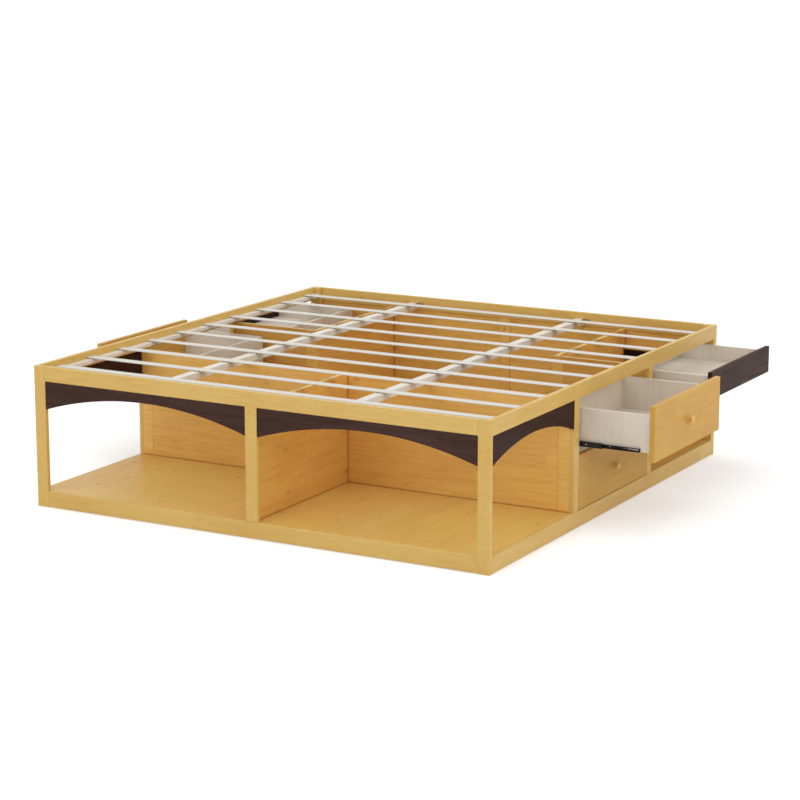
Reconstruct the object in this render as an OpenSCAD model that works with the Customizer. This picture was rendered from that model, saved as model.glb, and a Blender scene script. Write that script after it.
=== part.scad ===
// King-size tatami platform bed with six side drawers, open foot bays and a recessed slat deck.
// Millimetres. X runs across the bed (+X is the right side), Y from foot (-) to head (+), Z up.
// The origin is the centre of the bed on the floor, on the underside of the centre glide.
// Four of the drawers are drawn pulled out, at the distances in the Pose section.

/* [Bed] */
// Overall width across the side rails
bed_w = 1970; // [1600:10:2200]
// Overall length, foot face to head face
bed_l = 2080; // [1960:10:2240]
// Height of the top rails and posts above the floor
bed_h = 557; // [520:1:640]
// Height of the base rails' underside above the floor
base_lift = 3; // [2:0.5:10]

/* [Frame] */
// Thickness of posts, rails and upright panels
board = 18; // [15:0.5:22]
// Height of the top rails
top_rail_h = 58; // [48:1:75]
// Height of the base rails
base_rail_h = 62; // [48:1:80]
// Radius on the upper outside edge of the base rails
base_round = 5; // [1:0.5:8]
// Width of the corner posts and of the foot and head centre posts
corner_post_w = 50; // [38:1:65]
// Width of the posts beside the drawers
side_post_w = 42; // [34:1:56]
// Length of the head corner posts along the bed
head_post_l = 32; // [28:1:45]
// Width of the solid stiles that end the upright panels
stile_w = 50; // [30:1:70]
// Thickness of the floor boards
floor_t = 15; // [9:0.5:20]
// Width of the bearers under the floor boards
bearer_w = 50; // [40:1:70]
// Chamfer on the edges of the boards
edge = 1; // [0.4:0.1:2]
// Gap at a seam between two boards of one panel or drawer
seam = 0.2; // [0.1:0.05:0.4]

/* [Layout] */
// Length of the open bays at the foot, behind the foot rail
foot_bay_l = 669; // [560:1:720]
// Length of the drawer bay between its two side posts
drawer_bay_l = 643; // [560:1:700]
// Depth of the side cabinets, from the side face to the back of their back board
cabinet_d = 428; // [422:1:480]

/* [Valances] */
// Height of the arched valances at their ends
valance_h = 110; // [96:1:130]
// Rise of the arch in the foot valances
foot_arch = 72; // [40:1:85]
// Rise of the arch in the side valances
side_arch = 58; // [30:1:80]
// Flat at each end of an arch
arch_flat = 5; // [2:1:20]
// Distance that the valances stand back from the outside faces
valance_back = 3; // [1:0.5:6]
// Distance that the head panels stand back from both faces of the head rails
panel_back = 3; // [1:0.5:5]

/* [Slat deck] */
// Depth of the slat tops below the top of the rails
slat_drop = 21; // [15:1:26]
// Number of slats
slat_count = 10; // [6:1:14]
// Width of a slat
slat_w = 42; // [30:1:60]
// Thickness of a slat
slat_t = 4; // [3:0.5:7]
// Distance from the foot rail to the middle of the first slat
first_slat = 114; // [60:1:160]
// Distance from the middle of the last slat to the head rail
last_slat = 85; // [60:1:160]
// Free length at each end of a slat
slat_play = 1; // [0.5:0.5:3]
// Thickness of the pads that the slats lie on
pad_t = 2.5; // [1.5:0.5:4]
// Distance that the pads stand back from the edges of slats, ledgers and rails
pad_back = 3; // [1:0.5:5]
// Width of the two long rails under the slats
deck_rail_w = 36; // [28:1:50]
// Height of the long rails, which stand on the cross wall
deck_rail_h = 26; // [22:1:34]
// Place of the left rail's middle, left of the bed's middle
left_rail_x = 453; // [300:1:500]
// Place of the right rail's middle, right of the bed's middle
right_rail_x = 361; // [300:1:500]
// Width of the ledgers on the side rails
ledger_w = 28; // [20:1:40]
// Height of the ledgers
ledger_h = 15; // [10:1:22]
// Steel thickness of the angle brackets that hold the long rails' ends
bracket_t = 2; // [1.5:0.5:3]
// Length of each leg of a bracket
bracket_l = 32; // [20:1:50]
// Height of the brackets
bracket_h = 16; // [12:1:20]

/* [Drawers] */
// Gap round a drawer front
front_gap = 3; // [2:0.5:5]
// Thickness of the light drawer fronts
front_t = 20; // [16:0.5:22]
// Thickness of the dark drawer fronts
dark_front_t = 18; // [15:0.5:22]
// Height of the dark drawer fronts
dark_front_h = 109; // [100:1:130]
// Thickness of the drawer sides and backs
box_t = 12; // [9:0.5:15]
// Height of the deep drawer boxes
deep_box_h = 142; // [110:1:165]
// Height of the shallow drawer boxes
dark_box_h = 79; // [60:1:85]
// Height of a deep box's lower edge above its front's lower edge
deep_box_lift = 34.5; // [26:0.5:44]
// Height of a shallow box's lower edge above its front's lower edge
dark_box_lift = 13; // [10:0.5:24]
// Depth of a deep drawer, front face to back
deep_drawer_d = 415; // [400:1:420]
// Depth of a shallow drawer, front face to back
dark_drawer_d = 403; // [396:1:404]
// Thickness of the drawer bottoms
bottom_t = 5; // [3:0.5:8]
// Height of the bottom groove above the lower edge of a box
groove_up = 8; // [6:0.5:12]
// Depth of the bottom groove
groove_d = 5; // [3:0.5:6]
// Diameter of a knob's head
knob_d = 31; // [26:1:40]
// Length of a knob
knob_l = 27; // [24:1:36]
// Diameter of a knob at the waist of its neck
knob_neck_d = 13; // [9:0.5:16]

/* [Runners] */
// Length of each runner member
runner_len = 350; // [300:1:354]
// Distance from the back of a front to its runners
runner_set = 39; // [32:1:40]
// Space for a runner between a box and the cabinet
runner_space = 13; // [12.5:0.1:14]
// Height of the member on the drawer
runner_h = 14; // [13:0.5:17]
// Steel thickness of the runner members
runner_wall = 1; // [0.8:0.1:1.2]
// Play between nested runner members
runner_play = 0.3; // [0.2:0.05:0.5]
// Diameter of the balls that the members run on
ball_d = 2.2; // [1.8:0.1:2.6]
// Play between the balls and their races
ball_play = 0.1; // [0.05:0.05:0.15]
// Length of the keyhole slot near the front of a drawer member
keyhole_l = 50; // [30:1:54]
// Height of the keyhole slot at its wide end
keyhole_h = 7; // [5:0.5:7.5]
// Height of the keyhole slot at its narrow end
keyhole_tail = 2.4; // [1.5:0.1:4]
// Distance from a member's front end to its keyhole slot
keyhole_set = 7; // [5:1:9]
// Diameter of the screw holes in the middle and drawer members
screw_hole_d = 4.6; // [3.5:0.1:5]
// Distance from a member's front end to its first screw hole
first_hole = 65; // [65:1:80]
// Distance from one screw hole to the next
hole_pitch = 59; // [50:1:75]
// Height of the battens above and below the cabinet members that are screwed to them
batten_over = 4; // [2:1:12]

/* [Pose] */
// Distance that the right deep upper drawer stands open
open_right_upper = 301; // [0:1:340]
// Distance that the right dark drawer stands open
open_right_dark = 247; // [0:1:340]
// Distance that the left deep upper drawer stands open
open_left_upper = 238; // [0:1:340]
// Distance that the left dark drawer stands open
open_left_dark = 175; // [0:1:340]

/* [Hidden] */

// Sides of the bed
left = -1;
right = 1;

// Colours
oak = [0.83, 0.69, 0.42];
oak_inside = [0.76, 0.57, 0.30];
oak_floor = [0.80, 0.63, 0.34];
walnut = [0.27, 0.20, 0.19];
melamine = [0.79, 0.75, 0.69];
off_white = [0.88, 0.87, 0.83];
runner_black = [0.13, 0.12, 0.12];

// Half sizes and the faces of the frame
half_w = bed_w / 2;
half_l = bed_l / 2;
in_w = half_w - board;
in_l = half_l - board;
head_post_y = half_l - head_post_l;
rail_z = bed_h - top_rail_h;
base_z = base_lift + base_rail_h;
bearer_top = base_z - floor_t;

// Places along the bed, foot to head
wall_y = -in_l + foot_bay_l;
bay_y0 = wall_y + side_post_w;
bay_y1 = bay_y0 + drawer_bay_l;
rear_y0 = bay_y1 + side_post_w;
rear_y1 = head_post_y;
divider_y = (bay_y1 + rear_y0) / 2;
back_x = half_w - cabinet_d;

// Levels of the slat deck
slat_top = bed_h - slat_drop;
slat_z = slat_top - slat_t;
deck_z = slat_z - pad_t;
wall_top = deck_z - deck_rail_h;
slat_pitch = (2 * in_l - first_slat - last_slat) / (slat_count - 1);
slat_places = [for (i = [0 : slat_count - 1]) -in_l + first_slat + i * slat_pitch];

// Drawer fronts: two deep ones share the height between base and top rail
deep_front_h = (rail_z - base_z - 3 * front_gap) / 2;
lower_z = base_z + front_gap;
upper_z = lower_z + deep_front_h + front_gap;
dark_z = rail_z - front_gap - dark_front_h;

// A drawer is [y0, y1, front z, front height, front thickness, box lift, box height, depth, open]
deep_lower = [bay_y0, bay_y1, lower_z, deep_front_h, front_t, deep_box_lift, deep_box_h, deep_drawer_d];
deep_upper = [bay_y0, bay_y1, upper_z, deep_front_h, front_t, deep_box_lift, deep_box_h, deep_drawer_d];
dark = [rear_y0, rear_y1, dark_z, dark_front_h, dark_front_t, dark_box_lift, dark_box_h, dark_drawer_d];

function y0_of(d) = d[0];
function y1_of(d) = d[1];
function front_z_of(d) = d[2];
function front_h_of(d) = d[3];
function front_t_of(d) = d[4];
function box_z_of(d) = d[2] + d[5];
function box_h_of(d) = d[6];
function depth_of(d) = d[7];
function runner_z_of(d) = box_z_of(d) + runner_h / 2;
function runner_x_of(d) = half_w - front_t_of(d) - runner_set - runner_len;

// Nested runner members, measured across the runner from the cabinet and up from its middle
race_in = ball_d / 2 + ball_play;
race_out = race_in + runner_wall;
mid_web = runner_wall + runner_play;
ball_across = mid_web + runner_wall + runner_play + race_out;
inner_row = runner_h / 2;
outer_row = inner_row + race_in + race_out;
batten_h = 2 * (outer_row + race_out + batten_over);

// Small fixed sizes
glide_r = 25;
head_bearer_y = in_l - bearer_w / 2;
panel_y = in_l + panel_back;
screw_places = [first_hole : hole_pitch : runner_len - screw_hole_d];

// Puts its children on one side of the bed; they are drawn for the right side
module on_side(side) {
    if (side == right) children();
    else mirror([1, 0, 0]) children();
}

// Puts its children on both sides of the bed
module both_sides() {
    on_side(right) children();
    on_side(left) children();
}

// Rectangle with its corners cut off
module cut_rect(a, b, c) {
    polygon([[c, 0], [a - c, 0], [a, c], [a, b - c], [a - c, b], [c, b], [0, b - c], [0, c]]);
}

// Board from corner lo to corner hi with all its edges chamfered
module board_box(lo, hi, c = edge) {
    s = hi - lo;
    translate(lo) intersection() {
        linear_extrude(s[2]) cut_rect(s[0], s[1], c);
        translate([0, s[1], 0]) rotate([90, 0, 0]) linear_extrude(s[1]) cut_rect(s[0], s[2], c);
        rotate([90, 0, 90]) linear_extrude(s[0]) cut_rect(s[1], s[2], c);
    }
}

// Plain box from corner lo to corner hi
module box(lo, hi) {
    translate(lo) cube(hi - lo);
}

// Section of a base rail: outside face at x = board, its upper outside edge rounded
module base_rail_section() {
    square([board - base_round, base_rail_h]);
    square([board, base_rail_h - base_round]);
    translate([board - base_round, base_rail_h - base_round]) circle(r = base_round, $fn = 48);
}

// Base rail of length len, drawn along Y from the origin, outside face towards +X
module base_rail(len) {
    translate([0, len, 0]) rotate([90, 0, 0]) linear_extrude(len) base_rail_section();
}

// Valance outline: w wide, valance_h high, its lower edge an arch that rises by rise
module valance_outline(w, rise) {
    r = (pow(w / 2 - arch_flat, 2) + pow(rise, 2)) / (2 * rise);
    difference() {
        square([w, valance_h]);
        translate([w / 2, rise - r]) circle(r = r, $fn = 360);
    }
}

// ---- Frame ----

module foot_posts() {
    color(oak) both_sides()
        board_box([half_w - corner_post_w, -half_l, 0], [half_w, -in_l, bed_h]);
}

module head_posts() {
    color(oak) both_sides()
        board_box([half_w - corner_post_w, head_post_y, 0], [half_w, half_l, bed_h]);
}

module foot_centre_post() {
    color(oak) board_box([-corner_post_w / 2, -half_l, base_z], [corner_post_w / 2, -in_l, rail_z]);
}

module head_centre_post() {
    color(oak_inside)
        board_box([-corner_post_w / 2, in_l, base_z], [corner_post_w / 2, half_l, rail_z]);
}

// Two posts a side: between open bay and drawers, and between drawers and niche
module side_posts() {
    color(oak) both_sides() for (y = [wall_y, bay_y1])
        board_box([in_w, y, base_z], [half_w, y + side_post_w, rail_z]);
}

module foot_top_rail() {
    x = half_w - corner_post_w;
    color(oak) board_box([-x, -half_l, rail_z], [x, -in_l, bed_h]);
}

module head_top_rail() {
    x = half_w - corner_post_w;
    color(oak) board_box([-x, in_l, rail_z], [x, half_l, bed_h]);
}

module side_top_rails() {
    color(oak) both_sides() board_box([in_w, -in_l, rail_z], [half_w, head_post_y, bed_h]);
}

module foot_base_rail() {
    x = half_w - corner_post_w;
    color(oak) translate([-x, -in_l, base_lift]) rotate([0, 0, -90]) base_rail(2 * x);
}

module head_base_rail() {
    x = half_w - corner_post_w;
    color(oak) translate([x, in_l, base_lift]) rotate([0, 0, 90]) base_rail(2 * x);
}

module side_base_rails() {
    color(oak) both_sides()
        translate([in_w, -in_l, base_lift]) base_rail(in_l + head_post_y);
}

// Centre bearer along the bed and three cross bearers a side that butt against it
module base_bearers() {
    color(oak_inside) {
        board_box([-bearer_w / 2, -in_l, base_lift], [bearer_w / 2, in_l, bearer_top]);
        both_sides() for (y = [wall_y + board / 2, divider_y, head_bearer_y]) {
            x1 = y == head_bearer_y ? half_w - corner_post_w : in_w;
            board_box([bearer_w / 2 + seam, y - bearer_w / 2, base_lift],
                      [x1, y + bearer_w / 2, bearer_top]);
        }
    }
}

// Disc under the centre bearer
module centre_glide() {
    color(runner_black) cylinder(h = base_lift, r = glide_r, $fn = 64);
}

// Floor of the open bays, one board each side of the centre
module foot_floor() {
    color(oak_floor) both_sides()
        board_box([seam / 2, -in_l, bearer_top], [in_w, wall_y + board, base_z], edge / 2);
}

// Floor under the drawers and in the niche, one board a side, notched round the head post
module side_floors() {
    color(oak_floor) both_sides() difference() {
        board_box([back_x, wall_y + board, bearer_top], [in_w, in_l, base_z], edge / 2);
        box([half_w - corner_post_w, head_post_y, bearer_top - 1], [half_w, half_l, base_z + 1]);
    }
}

// Wall between the open bays and the drawers, two boards that meet behind the centre divider
module cross_wall() {
    color(oak_inside) both_sides()
        board_box([seam / 2, wall_y, base_z], [in_w - stile_w, wall_y + board, wall_top]);
}

module cross_wall_stiles() {
    color(oak_inside) both_sides()
        board_box([in_w - stile_w, wall_y, base_z], [in_w, wall_y + board, wall_top]);
}

// Divider of the two open bays and, at its rear end, its stile
module centre_divider() {
    color(oak_inside) {
        board_box([-board / 2, -in_l, base_z], [board / 2, wall_y - stile_w - seam, wall_top]);
        board_box([-board / 2, wall_y - stile_w, base_z], [board / 2, wall_y, wall_top]);
    }
}

// Divider between the drawers and the niche
module bay_dividers() {
    color(oak_inside) both_sides() board_box(
        [back_x + stile_w, divider_y - board / 2, base_z], [in_w, divider_y + board / 2, wall_top]);
}

module bay_divider_stiles() {
    color(oak_inside) both_sides() board_box(
        [back_x, divider_y - board / 2, base_z],
        [back_x + stile_w, divider_y + board / 2, wall_top]);
}

// Back of the niche and its dark drawer, with a stile against the head
module bay_backs() {
    y = divider_y + board / 2;
    color(oak_inside) both_sides() {
        board_box([back_x, y, base_z], [back_x + board, in_l - stile_w - seam, wall_top]);
        board_box([back_x, in_l - stile_w, base_z], [back_x + board, in_l, wall_top]);
    }
}

// Two boards that close the head end below its top rail
module head_panels() {
    color(oak_inside) both_sides() board_box(
        [corner_post_w / 2, panel_y, base_z],
        [half_w - corner_post_w, half_l - panel_back, rail_z]);
}

// ---- Valances ----

module foot_valances() {
    x0 = corner_post_w / 2;
    w = half_w - corner_post_w - x0;
    color(walnut) both_sides() translate([x0, -in_l, rail_z - valance_h])
        rotate([90, 0, 0]) linear_extrude(board - valance_back) valance_outline(w, foot_arch);
}

module side_valances() {
    color(walnut) both_sides() translate([in_w, -in_l, rail_z - valance_h])
        rotate([90, 0, 90]) linear_extrude(board - valance_back)
            valance_outline(foot_bay_l, side_arch);
}

// ---- Slat deck ----

module slat_ledgers() {
    color(off_white) both_sides()
        board_box([in_w - ledger_w, -in_l, deck_z - ledger_h], [in_w, head_post_y, deck_z]);
}

module deck_rails() {
    color(off_white) for (x = [-left_rail_x, right_rail_x])
        board_box([x - deck_rail_w / 2, -in_l, wall_top], [x + deck_rail_w / 2, in_l, deck_z]);
}

// Angle bracket in the corner between a rail's right side and the head rail
module rail_bracket() {
    box([0, -bracket_l, 0], [bracket_t, 0, bracket_h]);
    box([0, -bracket_t, 0], [bracket_l, 0, bracket_h]);
}

module rail_brackets() {
    color(runner_black) for (x = [-left_rail_x, right_rail_x])
        translate([x + deck_rail_w / 2, 0, deck_z - bracket_h]) {
            translate([0, in_l, 0]) rail_bracket();
            translate([0, -in_l, 0]) mirror([0, 1, 0]) rail_bracket();
        }
}

// Pad under every slat wherever it crosses a ledger or a long rail
module slat_pads() {
    color(runner_black) for (y = slat_places) for (c = [
        [ledger_w / 2 - in_w, ledger_w], [-left_rail_x, deck_rail_w],
        [right_rail_x, deck_rail_w], [in_w - ledger_w / 2, ledger_w]
    ])
        box([c[0] - c[1] / 2 + pad_back, y - slat_w / 2 + pad_back, deck_z],
            [c[0] + c[1] / 2 - pad_back, y + slat_w / 2 - pad_back, slat_z]);
}

module slats() {
    x = in_w - slat_play;
    color(off_white) for (y = slat_places)
        board_box([-x, y - slat_w / 2, slat_z], [x, y + slat_w / 2, slat_top], edge / 2);
}

// ---- Runners ----

// Upper half of a runner section: a web at `web` that reaches up to `top`, and the flange that
// runs there from u0 to u1. u runs across the runner from the cabinet, and y up from its middle
module web_and_flange(web, top, u0, u1) {
    translate([web, 0]) square([runner_wall, top]);
    translate([u0, top - runner_wall]) square([u1 - u0, runner_wall]);
}

// Quarter of a ring round a ball row at height row, on the side and half given by across and up
module race(row, across, up) {
    translate([ball_across, row]) intersection() {
        difference() {
            circle(r = race_out, $fn = 48);
            circle(r = race_in, $fn = 48);
        }
        translate([across > 0 ? 0 : -race_out, up > 0 ? 0 : -race_out]) square(race_out);
    }
}

// Member on the cabinet: its flanges curl down round the outer rows of balls
module cabinet_section() {
    web_and_flange(0, outer_row + race_out, 0, ball_across);
    race(outer_row, 1, 1);
}

// Middle member: it holds the outer rows of balls from inside and the inner rows from outside
module mid_section() {
    web_and_flange(mid_web, inner_row + race_out, mid_web, ball_across);
    race(inner_row, 1, 1);
    race(outer_row, -1, -1);
}

// Member on the drawer: its web lies on the box and its flanges curl up round the inner rows
module drawer_section() {
    web_and_flange(runner_space - runner_wall, inner_row - race_in, ball_across, runner_space);
    race(inner_row, -1, -1);
}

// Runner member with its rear end at x, on the cabinet wall at y, with its middle at z.
// dir is 1 where the drawer lies towards +Y of that wall. Its children are the section's upper half
module runner_member(x, y, z, dir) {
    translate([x, y, z]) mirror([0, dir > 0 ? 0 : 1, 0])
        rotate([90, 0, 90]) linear_extrude(runner_len) {
            children();
            mirror([0, 1]) children();
        }
}

// A member on each side of drawer d, moved out by open
module runner_pair(d, open) {
    x = runner_x_of(d) + open;
    runner_member(x, y0_of(d), runner_z_of(d), 1) children();
    runner_member(x, y1_of(d), runner_z_of(d), -1) children();
}

// Both cabinet members of drawer d
module cabinet_members(d) {
    runner_pair(d, 0) cabinet_section();
}

// Keyhole slot seen from the side, its wide end towards the front at x = 0
module keyhole() {
    r0 = keyhole_h / 2;
    r1 = keyhole_tail / 2;
    x0 = -keyhole_set - r0;
    x1 = -keyhole_set - keyhole_l + r1;
    translate([x0, 0]) circle(r = r0, $fn = 32);
    translate([x1, 0]) circle(r = r1, $fn = 24);
    polygon([[x0, -r0], [x0, r0], [x1, r1], [x1, -r1]]);
}

// Cuts holes and its first child's outline through both webs of its second child, a runner pair
// of drawer d that stands open by open
module pierce_webs(d, open) {
    difference() {
        children(1);
        translate([runner_x_of(d) + open + runner_len, y1_of(d), runner_z_of(d)])
            rotate([90, 0, 0]) linear_extrude(y1_of(d) - y0_of(d)) {
                children(0);
                for (back = screw_places) translate([-back, 0]) circle(d = screw_hole_d, $fn = 24);
            }
    }
}

// Both middle members of drawer d, which move half as far as the drawer
module mid_members(d, open) {
    pierce_webs(d, open / 2) {
        union();
        runner_pair(d, open / 2) mid_section();
    }
}

// Both drawer members of drawer d
module drawer_members(d, open) {
    pierce_webs(d, open) {
        keyhole();
        runner_pair(d, open) drawer_section();
    }
}

module cabinet_runners(side) {
    color(runner_black) on_side(side) for (d = [deep_lower, deep_upper, dark]) cabinet_members(d);
}

// Batten from the cabinet wall at y_wall to the runner's seat at y_seat
module batten(d, y_wall, y_seat) {
    z = runner_z_of(d) - batten_h / 2;
    x1 = y_seat == rear_y1 ? half_w - corner_post_w : in_w;
    board_box([back_x + board, min(y_wall, y_seat), z], [x1, max(y_wall, y_seat), z + batten_h]);
}

module runner_battens() {
    color(oak_inside) both_sides() {
        for (d = [deep_lower, deep_upper]) {
            batten(d, wall_y + board, bay_y0);
            batten(d, divider_y - board / 2, bay_y1);
        }
        batten(dark, divider_y + board / 2, rear_y0);
        batten(dark, panel_y, rear_y1);
    }
}

// ---- Drawers ----

module drawer_front(d, open) {
    x = half_w + open;
    z = front_z_of(d);
    board_box([x - front_t_of(d), y0_of(d) + front_gap, z],
              [x, y1_of(d) - front_gap, z + front_h_of(d)], 1.5 * edge);
}

// Open box: two grooved sides, a back between them and a bottom in their grooves
module drawer_box(d, open) {
    x1 = half_w + open - front_t_of(d);
    x0 = half_w + open - depth_of(d);
    y0 = y0_of(d) + runner_space;
    y1 = y1_of(d) - runner_space;
    z0 = box_z_of(d);
    z1 = z0 + box_h_of(d);
    zb = z0 + groove_up;
    ya = y0 + box_t;
    yb = y1 - box_t;
    for (y = [y0, yb]) difference() {
        board_box([x0, y, z0], [x1, y + box_t, z1], edge / 2);
        box([x0 - 1, ya - groove_d, zb], [x1 + 1, yb + groove_d, zb + bottom_t + 2 * seam]);
    }
    box([x0, ya - groove_d + seam, zb + seam], [x1, yb + groove_d - seam, zb + seam + bottom_t]);
    board_box([x0, ya + seam, zb + bottom_t + 2 * seam], [x0 + box_t, yb - seam, z1], edge / 2);
}

// Half section of a turned mushroom knob: a waisted neck, a round rim and a dome tangent to it
module knob_section() {
    r = knob_d / 2;
    rim_r = 0.29 * r;
    dome_r = 1.42 * r;
    rim_x = r - rim_r;
    dome_z = knob_l - dome_r;
    rim_z = dome_z + sqrt(pow(dome_r - rim_r, 2) - pow(rim_x, 2));
    tangent_x = rim_x * dome_r / (dome_r - rim_r);
    neck_l = rim_z - rim_r;
    neck_r = knob_neck_d / 2;
    difference() {
        square([0.65 * r, neck_l]);
        translate([neck_r + neck_l / 2, neck_l / 2]) circle(d = neck_l, $fn = 64);
    }
    translate([0, neck_l]) square([rim_x, rim_r]);
    translate([rim_x, rim_z]) circle(r = rim_r, $fn = 48);
    intersection() {
        translate([0, dome_z]) circle(r = dome_r, $fn = 96);
        translate([0, rim_z]) square([tangent_x, knob_l - rim_z]);
    }
}

// Knob in the middle of a front, its foot on the front
module knob(d, open) {
    translate([half_w + open, (y0_of(d) + y1_of(d)) / 2, front_z_of(d) + front_h_of(d) / 2])
        rotate([0, 90, 0]) rotate_extrude($fn = 96) knob_section();
}

// ---- Right upper drawer ----

module right_upper_front() {
    color(oak) on_side(right) drawer_front(deep_upper, open_right_upper);
}

module right_upper_box() {
    color(melamine) on_side(right) drawer_box(deep_upper, open_right_upper);
}

module right_upper_knob() {
    color(oak) on_side(right) knob(deep_upper, open_right_upper);
}

module right_upper_runners() {
    color(runner_black) on_side(right) drawer_members(deep_upper, open_right_upper);
}

module right_upper_mid_runners() {
    color(runner_black) on_side(right) mid_members(deep_upper, open_right_upper);
}

// ---- Right lower drawer ----

module right_lower_front() {
    color(oak) on_side(right) drawer_front(deep_lower, 0);
}

module right_lower_box() {
    color(melamine) on_side(right) drawer_box(deep_lower, 0);
}

module right_lower_knob() {
    color(oak) on_side(right) knob(deep_lower, 0);
}

module right_lower_runners() {
    color(runner_black) on_side(right) drawer_members(deep_lower, 0);
}

module right_lower_mid_runners() {
    color(runner_black) on_side(right) mid_members(deep_lower, 0);
}

// ---- Right dark drawer ----

module right_dark_front() {
    color(walnut) on_side(right) drawer_front(dark, open_right_dark);
}

module right_dark_box() {
    color(melamine) on_side(right) drawer_box(dark, open_right_dark);
}

module right_dark_runners() {
    color(runner_black) on_side(right) drawer_members(dark, open_right_dark);
}

module right_dark_mid_runners() {
    color(runner_black) on_side(right) mid_members(dark, open_right_dark);
}

// ---- Left upper drawer ----

module left_upper_front() {
    color(oak) on_side(left) drawer_front(deep_upper, open_left_upper);
}

module left_upper_box() {
    color(melamine) on_side(left) drawer_box(deep_upper, open_left_upper);
}

module left_upper_knob() {
    color(oak) on_side(left) knob(deep_upper, open_left_upper);
}

module left_upper_runners() {
    color(runner_black) on_side(left) drawer_members(deep_upper, open_left_upper);
}

module left_upper_mid_runners() {
    color(runner_black) on_side(left) mid_members(deep_upper, open_left_upper);
}

// ---- Left lower drawer ----

module left_lower_front() {
    color(oak) on_side(left) drawer_front(deep_lower, 0);
}

module left_lower_box() {
    color(melamine) on_side(left) drawer_box(deep_lower, 0);
}

module left_lower_knob() {
    color(oak) on_side(left) knob(deep_lower, 0);
}

module left_lower_runners() {
    color(runner_black) on_side(left) drawer_members(deep_lower, 0);
}

module left_lower_mid_runners() {
    color(runner_black) on_side(left) mid_members(deep_lower, 0);
}

// ---- Left dark drawer ----

module left_dark_front() {
    color(walnut) on_side(left) drawer_front(dark, open_left_dark);
}

module left_dark_box() {
    color(melamine) on_side(left) drawer_box(dark, open_left_dark);
}

module left_dark_runners() {
    color(runner_black) on_side(left) drawer_members(dark, open_left_dark);
}

module left_dark_mid_runners() {
    color(runner_black) on_side(left) mid_members(dark, open_left_dark);
}

// ---- Nodes ----

foot_posts();
head_posts();
foot_centre_post();
side_posts();
foot_top_rail();
head_top_rail();
side_top_rails();
foot_base_rail();
head_base_rail();
side_base_rails();
base_bearers();
centre_glide();
foot_floor();
side_floors();
cross_wall();
cross_wall_stiles();
centre_divider();
bay_dividers();
bay_divider_stiles();
bay_backs();
head_panels();
head_centre_post();
foot_valances();
side_valances();
slat_ledgers();
deck_rails();
rail_brackets();
slat_pads();
slats();
runner_battens();
cabinet_runners(left);  // cabinet_runners_left
cabinet_runners(right);  // cabinet_runners_right
right_upper_front();
right_upper_box();
right_upper_knob();
right_upper_runners();
right_upper_mid_runners();
right_lower_front();
right_lower_box();
right_lower_knob();
right_lower_runners();
right_lower_mid_runners();
right_dark_front();
right_dark_box();
right_dark_runners();
right_dark_mid_runners();
left_upper_front();
left_upper_box();
left_upper_knob();
left_upper_runners();
left_upper_mid_runners();
left_lower_front();
left_lower_box();
left_lower_knob();
left_lower_runners();
left_lower_mid_runners();
left_dark_front();
left_dark_box();
left_dark_runners();
left_dark_mid_runners();
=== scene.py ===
"""Finishes, small fittings and stage of the tatami platform bed.

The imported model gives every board, rail, drawer and runner. This file dresses them in wood,
board, paint and steel, lays rounded slats, fits the balls, cages and screws, and sets up a plain
studio. Everything is in metres: +X is the bed's right side, +Y its head and Z is up.
"""

import math

import bmesh
import bpy
from bpy.props import FloatProperty, FloatVectorProperty, IntProperty, PointerProperty
from mathutils import Matrix, Vector


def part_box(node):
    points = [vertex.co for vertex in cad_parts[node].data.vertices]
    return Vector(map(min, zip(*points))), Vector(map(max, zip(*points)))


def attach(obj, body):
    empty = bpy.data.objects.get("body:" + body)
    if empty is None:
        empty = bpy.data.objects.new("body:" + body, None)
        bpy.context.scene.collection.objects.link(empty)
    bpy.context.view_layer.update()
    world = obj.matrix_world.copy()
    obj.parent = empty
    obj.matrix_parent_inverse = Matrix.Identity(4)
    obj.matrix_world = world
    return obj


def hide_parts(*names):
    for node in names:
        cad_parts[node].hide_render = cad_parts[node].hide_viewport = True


bl_info = {
    "name": "Tatami Platform Bed Looks",
    "version": (1, 0, 0),
    "blender": (4, 5, 0),
    "location": "View3D > Sidebar > Bed",
    "description": "Dresses the packed platform bed and sets up its stage",
    "category": "Object",
}

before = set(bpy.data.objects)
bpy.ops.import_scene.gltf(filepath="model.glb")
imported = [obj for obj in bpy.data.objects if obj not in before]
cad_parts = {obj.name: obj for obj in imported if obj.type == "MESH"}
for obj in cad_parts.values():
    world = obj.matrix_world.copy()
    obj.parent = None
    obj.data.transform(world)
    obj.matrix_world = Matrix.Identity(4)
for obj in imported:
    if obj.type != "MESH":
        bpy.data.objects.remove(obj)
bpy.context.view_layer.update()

SIDES = ("left", "right")
DRAWERS = [f"{side}_{row}" for side in SIDES for row in ("upper", "lower", "dark")]

# Nodes by the finish they wear
OAK_ALONG_X = ["foot_top_rail", "head_top_rail", "foot_base_rail", "head_base_rail"]
OAK_ALONG_Y = ["side_top_rails", "side_base_rails"]
OAK_ROUND = ["foot_posts", "head_posts", "foot_centre_post", "side_posts"]
INSIDE_ALONG_X = ["cross_wall", "head_panels", "runner_battens"]
STILES_ALONG_X = ["cross_wall_stiles", "bay_divider_stiles"]
WALNUT_ALONG_X = ["foot_valances"]
WALNUT_ALONG_Y = ["side_valances", "left_dark_front", "right_dark_front"]
RUNNERS = ["cabinet_runners_left", "cabinet_runners_right"]
for drawer in DRAWERS:
    RUNNERS += [f"{drawer}_runners", f"{drawer}_mid_runners"]


def linear(*screen):
    """Scene-linear colour of an 8-bit screen colour."""
    return tuple(((c / 255 + 0.055) / 1.055) ** 2.4 for c in screen)


def colour_property(name, description, screen):
    return FloatVectorProperty(
        name=name, description=description, subtype="COLOR", size=3, min=0.0, max=1.0,
        default=linear(*screen))


def length_property(name, description, metres):
    return FloatProperty(
        name=name, description=description, subtype="DISTANCE", unit="LENGTH", min=0.0,
        default=metres)


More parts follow.
